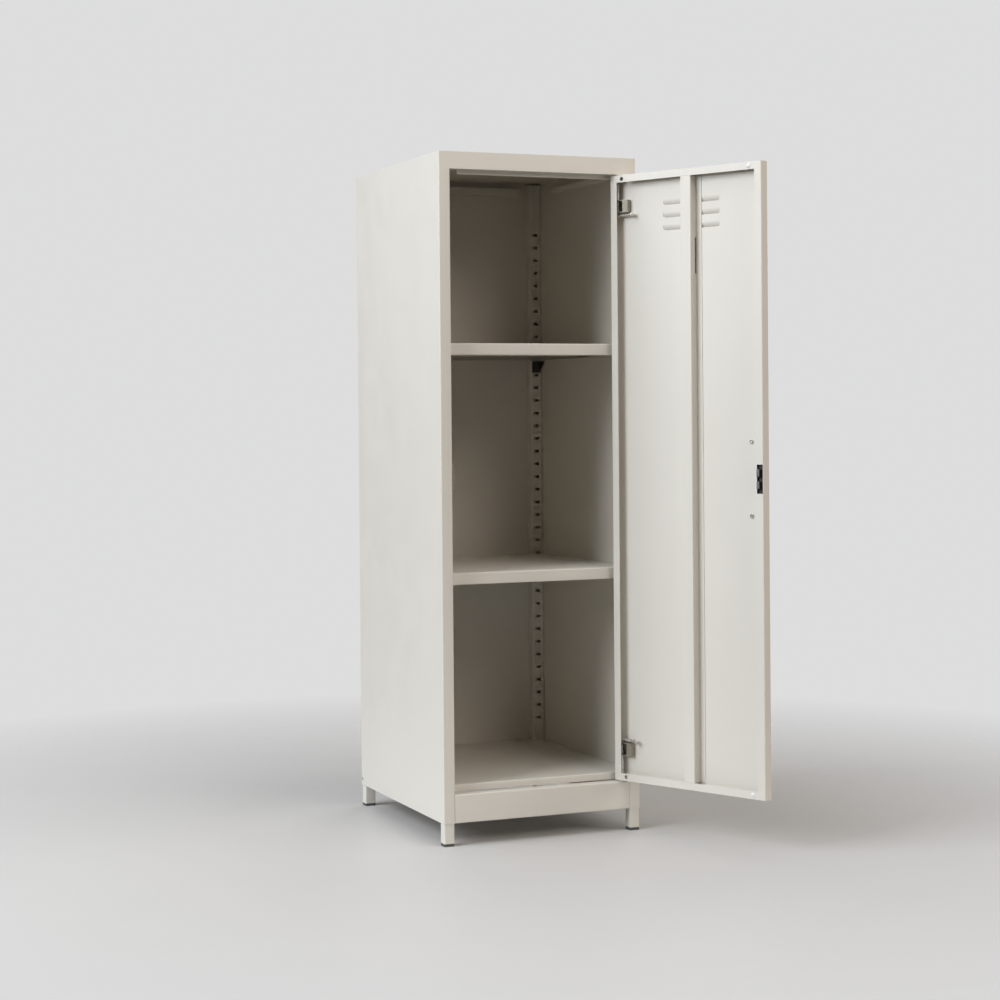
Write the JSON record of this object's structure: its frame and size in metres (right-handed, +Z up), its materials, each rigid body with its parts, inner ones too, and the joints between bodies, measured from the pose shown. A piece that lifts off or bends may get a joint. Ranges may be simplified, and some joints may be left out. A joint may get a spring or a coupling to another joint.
{
  "type": "locker cabinet",
  "caption": "Tall narrow sheet-steel locker cabinet on short square legs, with a right-hinged vented door and lift-out shelves on clips in slotted uprights.",
  "frame": {"origin": "centre of the body's footprint, on the floor", "axes": "+X towards the hinge side, the right-hand side seen from the front; +Y to the back, so the front faces -Y; +Z up. The rest pose has the door open on its stop, at 115 degrees"},
  "size_m": [0.5054, 0.7408, 1.215],
  "materials": {
    "ivory_paint": "fine-textured satin powder coat",
    "zinc_plate": "satin zinc plate",
    "spring_steel": "bright drawn wire and strip",
    "dark_clip_steel": "dark phosphated steel",
    "dark_grey_plastic": "matt moulded",
    "white_plastic": "smooth moulded",
    "black_plastic": "matt moulded",
    "dark_magnet": "pressed and fired ferrite"
  },
  "bodies": {
    "cabinet": {"left_side_panel": "ivory_paint", "right_side_panel": "ivory_paint", "back_panel": "ivory_paint", "top_cap": "ivory_paint", "top_door_stop": "ivory_paint", "left_top_rail": "ivory_paint", "right_top_rail": "ivory_paint", "rear_top_rail": "ivory_paint", "bottom_rail": "ivory_paint", "rear_base_rail": "ivory_paint", "floor_pan": "ivory_paint", "front_left_leg": "ivory_paint", "front_right_leg": "ivory_paint", "rear_left_leg": "ivory_paint", "rear_right_leg": "ivory_paint", "front_left_glide": "dark_grey_plastic", "front_right_glide": "dark_grey_plastic", "rear_left_glide": "dark_grey_plastic", "rear_right_glide": "dark_grey_plastic", "front_left_upright": "ivory_paint", "front_right_upright": "ivory_paint", "rear_left_upright": "ivory_paint", "rear_right_upright": "ivory_paint", "leg_screws": "zinc_plate", "upper_shelf_clips": "dark_clip_steel", "lower_shelf_clips": "dark_clip_steel", "upper_pivot_bush": "white_plastic", "lower_pivot_bush": "white_plastic", "catch_strike": "zinc_plate", "strike_screws": "zinc_plate"},
    "upper_shelf": {"upper_shelf": "ivory_paint", "upper_shelf_brace": "ivory_paint"},
    "lower_shelf": {"lower_shelf": "ivory_paint", "lower_shelf_brace": "ivory_paint"},
    "door": {"door_panel": "ivory_paint", "door_stiffener": "ivory_paint", "upper_hinge_bracket": "zinc_plate", "lower_hinge_bracket": "zinc_plate", "upper_bumper": "white_plastic", "lower_bumper": "white_plastic", "pull_handle": "ivory_paint", "handle_screws": "zinc_plate", "upper_pin_spring": "spring_steel", "lower_pin_spring": "spring_steel", "catch_case": "black_plastic", "catch_magnet": "dark_magnet", "catch_poles": "zinc_plate"},
    "upper_hinge_pin": {"upper_hinge_pin": "zinc_plate", "upper_pin_clip": "spring_steel"},
    "lower_hinge_pin": {"lower_hinge_pin": "zinc_plate", "lower_pin_clip": "spring_steel"}
  },
  "joints": [
    {"name": "door_hinge", "type": "hinge", "parent": "cabinet", "child": "door", "pos_m": [0.158, -0.2178, 0.638], "axis": [0, 0, 1], "range_deg": [-115, 0]},
    {"name": "upper_shelf_lift", "type": "slide", "parent": "cabinet", "child": "upper_shelf", "axis": [0, 0, 1], "range_m": [0, 0.025]},
    {"name": "lower_shelf_lift", "type": "slide", "parent": "cabinet", "child": "lower_shelf", "axis": [0, 0, 1], "range_m": [0, 0.025]},
    {"name": "upper_pin_slide", "type": "slide", "parent": "door", "child": "upper_hinge_pin", "axis": [0, 0, -1], "range_m": [0, 0.01], "stiffness_N_per_m": 600, "springref_m": -0.01, "deforming": ["upper_pin_spring"]},
    {"name": "lower_pin_slide", "type": "slide", "parent": "door", "child": "lower_hinge_pin", "axis": [0, 0, 1], "range_m": [0, 0.01], "stiffness_N_per_m": 600, "springref_m": -0.01, "deforming": ["lower_pin_spring"]}
  ]
}
